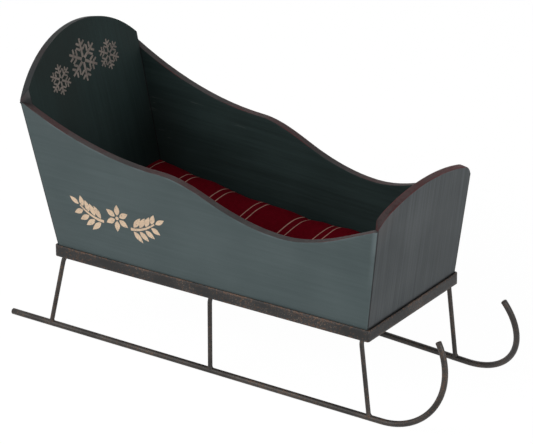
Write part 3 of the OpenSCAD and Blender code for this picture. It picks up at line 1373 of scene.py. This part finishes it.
@dataclass
class Prints:
    """Stamped winter motifs: a twig garland on each side and snow crystals on the headboard."""

    sizes: SleighSizes
    finishes: Finishes
    side_at: Point2 = (-70.0, 31.0)
    head_at: Point2 = (0.0, 106.0)
    crystals: tuple[tuple[float, float, float], ...] = (
        (0.0, 1.0, 14.5), (-26.0, -4.0, 10.5), (26.0, -4.0, 10.5),
    )  # fmt: skip

    def build(self) -> list[bpy.types.Object]:
        """Makes all the prints.

        Returns:
            The prints of both sides and of the headboard.
        """
        pieces = []
        for hand in Hand:
            along = self.side_at[0] * (1 if hand is Hand.RIGHT else -1)
            place = self.sizes.side_face(hand) @ Matrix.Translation((along, self.side_at[1], 0))
            name = "print_side_" + hand.name.lower()
            pieces.append(self._garland().build(name, place, self.finishes.cream))
        place = self.sizes.head_face() @ Matrix.Translation((*self.head_at, 0))
        pieces.append(self._crystals().build("print_headboard", place, self.finishes.taupe))
        return pieces

    @staticmethod
    def _garland() -> Stencil:
        """Draws a six-leaved rosette between two bent twigs.

        Returns:
            The garland, round the middle of its rosette.
        """
        art = Stencil()
        petal_start, petal_len, petal_w, heart = 2.0, 7.6, 4.0, 1.3
        for aim in SIX_WAYS:
            art.leaf(polar((0, 0), aim, petal_start), aim, petal_len, petal_w)
        art.dot((0, 0), heart)
        near, pitch, low, bend = 10.5, 2.3, -5.0, 0.12
        stem_w, stem_end_w, splay, tip_aim = 2.0, 1.0, 50, 32
        for side in (-1, 1):
            twig = [(side * (near + pitch * k), low + bend * k * k) for k in range(9)]
            art.stroke(twig, stem_w, stem_end_w)
            for k in range(0, 8, 2):
                x, y = twig[k + 1]
                for up in (-1, 1):
                    aim = splay * up + 6 + 3 * k
                    art.leaf((x, y + 1.4 * up), aim if side > 0 else 180 - aim, 9.6 - 0.35 * k, 3.7)
            x, y = twig[-1]
            art.leaf((x + side, y + 0.4), tip_aim if side > 0 else 180 - tip_aim, 8.0, 3.2)
        return art

    def _crystals(self) -> Stencil:
        """Draws one large snow crystal between two small ones.

        Returns:
            The crystals.
        """
        art = Stencil()
        for x, y, reach in self.crystals:
            for aim in SIX_WAYS:
                self._arm(art, (x, y), aim, reach)
        return art

    @staticmethod
    def _arm(art: Stencil, mid: Point2, aim: float, reach: float) -> None:
        """Draws one arm of a snow crystal, with two pairs of barbs.

        Args:
            art: The stencil to add to.
            mid: The crystal's middle.
            aim: Which way the arm points, in degrees.
            reach: From the middle to the arm's tip.
        """
        root, splay, barb_root = 0.12, 58, 0.09
        shares = [root + (1 - root) * j / 4 for j in range(5)]
        art.stroke([polar(mid, aim, share * reach) for share in shares], reach * 0.14, reach * 0.10)
        for share, size in ((0.42, 0.30), (0.66, 0.24)):
            start = polar(mid, aim, share * reach)
            for turn in (-splay, splay):
                line = [polar(start, aim + turn, (barb_root + size * j / 3) * reach) for j in range(4)]
                art.stroke(line, reach * 0.12, reach * 0.09)


@dataclass
class Cushion:
    """The striped mattress: a filled case that swells against the tub."""

    sizes: SleighSizes
    finishes: Finishes
    edge: float = 12.0
    head_rise: float = 8.8
    rise_from: float = -38.0
    sag: float = 1.7
    sag_at: float = 13.0
    sag_reach: float = 13.0
    front_roll: float = 0.9
    slices: int = 61
    crown: float = 1.4
    clear: float = 0.35
    lift: float = 0.3
    voxel: float = 2.2 * MM
    cap: float = 0.9 * MM
    frames: int = 20
    pressure: float = 4.0
    wall_rumple: float = 0.8
    rumple: float = 0.4
    crinkle: float = 0.25
    rumple_reach: float = 22.0
    folds: Point2 = (15.0, 45.0)
    creases: Point2 = (6.0, 13.0)
    flat_foot: float = 4.0

    def build(self) -> list[bpy.types.Object]:
        """Makes the cushion, swollen by a short cloth run.

        Returns:
            The one piece, which stands for the solid.
        """
        bm = self._case()
        piece = add_piece("cushion_case", bm, [self.finishes.cloth], 180.0)
        self._remesh(piece)
        self._swell(piece)
        self._settle(piece)
        smooth = piece.modifiers.new("rounding", "SUBSURF")
        smooth.levels = smooth.render_levels = 1
        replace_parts(piece, "cushion")
        return [piece]

    @property
    def floor(self) -> float:
        """Where the case starts, over the floor board."""
        return self.sizes.foot_z + self.sizes.floor_t + self.lift

    def _edge(self, x: float) -> float:
        """Height of the top along a side board.

        Args:
            x: Place along the tub, from mid length.

        Returns:
            The height over the rim's top, in millimetres.
        """
        climb = max(self.rise_from - x, 0.0) / (self.rise_from + self.sizes.tub_x)
        hollow = math.exp(-(((x - self.sag_at) / self.sag_reach) ** 2))
        return self.edge + self.head_rise * climb - self.sag * hollow

    def _case(self) -> bmesh.types.BMesh:
        """Lofts the case before it is filled: its walls follow the boards.

        Returns:
            The case's mesh, in the scene.
        """
        s = self.sizes
        bm = bmesh.new()
        rings = []
        last = self.slices - 1
        for k in range(self.slices):
            share = k / last
            top = self._edge(s.tub_x * (2 * share - 1)) - (self.front_roll if k == last else 0.0)
            rows = [
                (2.5, self.floor), (0.0, self.floor + 2.2), (0.0, top - 1.2), (0.3, top - 0.2),
                (4.0, top + self.crown * 0.5), (9.0, top + self.crown * 0.8), (14.0, top + self.crown),
                (20.0, top + self.crown * 0.65), (33.0, top - self.crown * 0.7),
            ]  # fmt: skip
            half = []
            for from_wall, z in rows:
                rear, ahead = s.inside_x(z)
                x = rear + self.clear + (ahead - rear - 2 * self.clear) * share
                half.append(Vector((x, s.inside_y(x, z) - self.clear - from_wall, z)))
            ring = half + [Vector((p.x, -p.y, p.z)) for p in reversed(half)]
            rings.append([bm.verts.new(s.on_frame() @ p) for p in ring])
        skin(bm, rings)
        return bm

    def _remesh(self, piece: bpy.types.Object) -> None:
        """Gives the case an even mesh.

        Args:
            piece: The cushion.
        """
        grid = piece.modifiers.new("even mesh", "REMESH")
        grid.mode = "VOXEL"
        grid.voxel_size = self.voxel
        grid.use_smooth_shade = True
        bake(piece)

    def _swell(self, piece: bpy.types.Object) -> None:
        """Fills the case by pressure and caps how far a point moves.

        Args:
            piece: The cushion, with its even mesh.
        """
        scene = bpy.context.scene
        start = [v.co.copy() for v in piece.data.vertices]
        cloth = piece.modifiers.new("filling", "CLOTH")
        cloth.settings.quality = 5
        cloth.settings.mass = 0.02
        cloth.settings.tension_stiffness = 8
        cloth.settings.compression_stiffness = 8
        cloth.settings.bending_stiffness = 0.2
        cloth.settings.use_pressure = True
        cloth.settings.uniform_pressure_force = self.pressure
        cloth.settings.effector_weights.gravity = 0.0
        for number in range(1, self.frames + 1):
            scene.frame_set(number)
        bake(piece)
        scene.frame_set(1)
        moved = 0.0
        for vert, was in zip(piece.data.vertices, start):
            shift = vert.co - was
            moved = max(moved, shift.length)
            if shift.length > self.cap:
                vert.co = was + shift * (self.cap / shift.length)
        LOG.info("cushion swelled by up to %.2f mm before the cap", moved / MM)

    def _settle(self, piece: bpy.types.Object) -> None:
        """Rumples the cloth a little and keeps it off the boards and the floor.

        Args:
            piece: The cushion, filled.
        """
        s = self.sizes
        inward = s.on_frame().inverted()
        for vert in piece.data.vertices:
            p = inward @ vert.co
            if p.z > self.floor + self.flat_foot:
                off_wall = (s.inside_y(p.x, p.z) - abs(p.y)) / self.rumple_reach
                near_wall = 1.0 - min(1.0, max(0.0, off_wall))
                broad = self._ripple(p, self.folds, 1.7)
                fine = self._ripple(p, self.creases, 5.1)
                p.z += broad * (self.rumple + self.wall_rumple * near_wall) + fine * self.crinkle
            wall = s.inside_y(p.x, p.z) - self.clear
            rear, ahead = s.inside_x(p.z)
            p.y = max(-wall, min(wall, p.y))
            p.x = max(rear + self.clear, min(ahead - self.clear, p.x))
            p.z = max(p.z, self.floor)
            vert.co = s.on_frame() @ p

    @staticmethod
    def _ripple(p: Vector, lengths: Point2, layer: float) -> float:
        """Smooth noise with its lengths along and across the tub, from one layer of many."""
        return noise.noise(Vector((p.x / lengths[0], p.y / lengths[1], layer)))


def bake(piece: bpy.types.Object) -> None:
    """Applies all the modifiers of a piece to its mesh.

    Args:
        piece: The piece, which gets a new mesh.
    """
    depsgraph = bpy.context.evaluated_depsgraph_get()
    depsgraph.update()
    mesh = bpy.data.meshes.new_from_object(piece.evaluated_get(depsgraph))
    piece.modifiers.clear()
    old = piece.data
    piece.data = mesh
    bpy.data.meshes.remove(old)


@dataclass
class Studio:
    """The pale floor, the soft lamps and the camera."""

    sizes: SleighSizes
    azimuth: float = 34.99
    elevation: float = 25.45
    roll: float = -0.07
    distance: float = 2820.8
    pan: Point2 = (-1.1, -68.27)
    focal: float = 4320.5
    centre: Point2 = (260.37, 236.89)
    frame_px: tuple[int, int] = (533, 444)
    sensor: float = 36.0
    floor_reach: float = 6.0
    floor_drop: float = 0.2 * MM
    floor_glow: float = 1.05
    glow_share: float = 0.93
    ambient: float = 0.2
    aim: tuple[float, float, float] = (0.0, 0.0, 0.09)

    def build(self) -> None:
        """Makes the studio."""
        self._floor()
        self._world()
        self._lamp("key", (-0.72, -1.4, 0.95), 1.0, 15.0)
        self._lamp("fill", (1.7, -0.42, 0.22), 0.5, 11.2)
        self._lamp("top", (0.0, -0.4, 1.7), 1.2, 1.0)
        self._camera()
        bpy.context.scene.view_settings.view_transform = "Standard"

    def _floor(self) -> None:
        """Lays a white floor that keeps a soft shadow."""
        bm = bmesh.new()
        bmesh.ops.create_grid(bm, x_segments=1, y_segments=1, size=self.floor_reach)
        mesh = bpy.data.meshes.new("floor")
        bm.to_mesh(mesh)
        bm.free()
        floor = bpy.data.objects.new("floor", mesh)
        floor.location.z = -self.floor_drop
        bpy.context.scene.collection.objects.link(floor)
        s = Surface("studio floor", Base_Color=(0.9, 0.9, 0.9), Roughness=0.9, Specular_IOR_Level=0.1)
        glow = s.tree.nodes.new("ShaderNodeEmission")
        glow.inputs["Strength"].default_value = self.floor_glow
        blend = s.tree.nodes.new("ShaderNodeMixShader")
        s.feed(blend, 0, self._seen(s) * self.glow_share)
        s.tree.links.new(s.shader.outputs[0], blend.inputs[1])
        s.tree.links.new(glow.outputs[0], blend.inputs[2])
        s.tree.links.new(blend.outputs[0], s.output.inputs["Surface"])
        mesh.materials.append(s.material)

    @staticmethod
    def _seen(s: Surface) -> Value:
        """Picks the rays that show the background: from the camera, or by gloss or glass.

        Args:
            s: The surface that is seen.

        Returns:
            1 for such a ray and 0 for others.
        """
        camera = s.node("ShaderNodeLightPath", {}, {}, 0)
        glossy = s.node("ShaderNodeLightPath", {}, {}, 3)
        through = s.node("ShaderNodeLightPath", {}, {}, 6)
        return camera.at_least(glossy).at_least(through)

    def _world(self) -> None:
        """Surrounds the sleigh with plain light, and shows white where a ray sees past the floor."""
        world = bpy.data.worlds.new("studio")
        bpy.context.scene.world = world
        world.use_nodes = True
        tree = world.node_tree
        tree.nodes.clear()
        output = tree.nodes.new("ShaderNodeOutputWorld")
        shown = tree.nodes.new("ShaderNodeBackground")
        shown.inputs["Color"].default_value = (1.0, 1.0, 1.0, 1.0)
        light = tree.nodes.new("ShaderNodeBackground")
        light.inputs["Color"].default_value = (0.97, 0.985, 1.0, 1.0)
        light.inputs["Strength"].default_value = self.ambient
        path = tree.nodes.new("ShaderNodeLightPath")
        seen = path.outputs["Is Camera Ray"]
        for kind in ("Is Glossy Ray", "Is Transmission Ray"):
            either = tree.nodes.new("ShaderNodeMath")
            either.operation = "MAXIMUM"
            tree.links.new(seen, either.inputs[0])
            tree.links.new(path.outputs[kind], either.inputs[1])
            seen = either.outputs[0]
        blend = tree.nodes.new("ShaderNodeMixShader")
        tree.links.new(seen, blend.inputs[0])
        tree.links.new(light.outputs[0], blend.inputs[1])
        tree.links.new(shown.outputs[0], blend.inputs[2])
        tree.links.new(blend.outputs[0], output.inputs["Surface"])

    def _lamp(self, name: str, at: tuple[float, float, float], size: float, power: float) -> None:
        """Hangs one soft square lamp that looks at the sleigh.

        Args:
            name: The lamp's name.
            at: Its place.
            size: The length of its side.
            power: Its power in watts.
        """
        data = bpy.data.lights.new(name, "AREA")
        data.size = size
        data.energy = power
        lamp = bpy.data.objects.new(name, data)
        lamp.location = at
        look = Vector(self.aim) - lamp.location
        lamp.rotation_euler = look.to_track_quat("-Z", "Y").to_euler()
        bpy.context.scene.collection.objects.link(lamp)

    def _camera(self) -> None:
        """Sets the camera where the photograph was taken from."""
        a, e, roll = (math.radians(v) for v in (self.azimuth, self.elevation, self.roll))
        right = Vector((math.cos(a), math.sin(a), 0))
        look = Vector((-math.sin(a) * math.cos(e), math.cos(a) * math.cos(e), -math.sin(e)))
        up = right.cross(look)
        turn = Matrix.Rotation(-roll, 3, look)
        right, up = turn @ right, turn @ up
        at = -(right * self.pan[0] + up * self.pan[1] + look * self.distance)
        at = (at + Vector((self.sizes.shift_x, 0, 0))) * MM
        data = bpy.data.cameras.new("camera")
        data.sensor_fit = "HORIZONTAL"
        data.sensor_width = self.sensor
        data.lens = self.focal / self.frame_px[0] * self.sensor
        data.shift_x = (self.frame_px[0] / 2 - self.centre[0]) / self.frame_px[0]
        data.shift_y = (self.centre[1] - self.frame_px[1] / 2) / self.frame_px[0]
        data.clip_start, data.clip_end = 0.1, 50.0
        camera = bpy.data.objects.new("camera", data)
        camera.matrix_world = basis(right, up, -look, at)
        bpy.context.scene.collection.objects.link(camera)
        bpy.context.scene.camera = camera


def main() -> None:
    """Builds the sleigh and the studio in order."""
    logging.basicConfig(level=logging.INFO, format="%(name)s %(message)s")
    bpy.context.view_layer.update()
    sizes = SleighSizes()
    Studio(sizes).build()
    finishes = Finishes(sizes)
    for assembly in (Tub, BarFrame, Prints, Cushion):
        for piece in assembly(sizes, finishes).build():
            LOG.info("%s: %d faces", piece.name, len(piece.data.polygons))


if __name__ == "__main__":
    main()
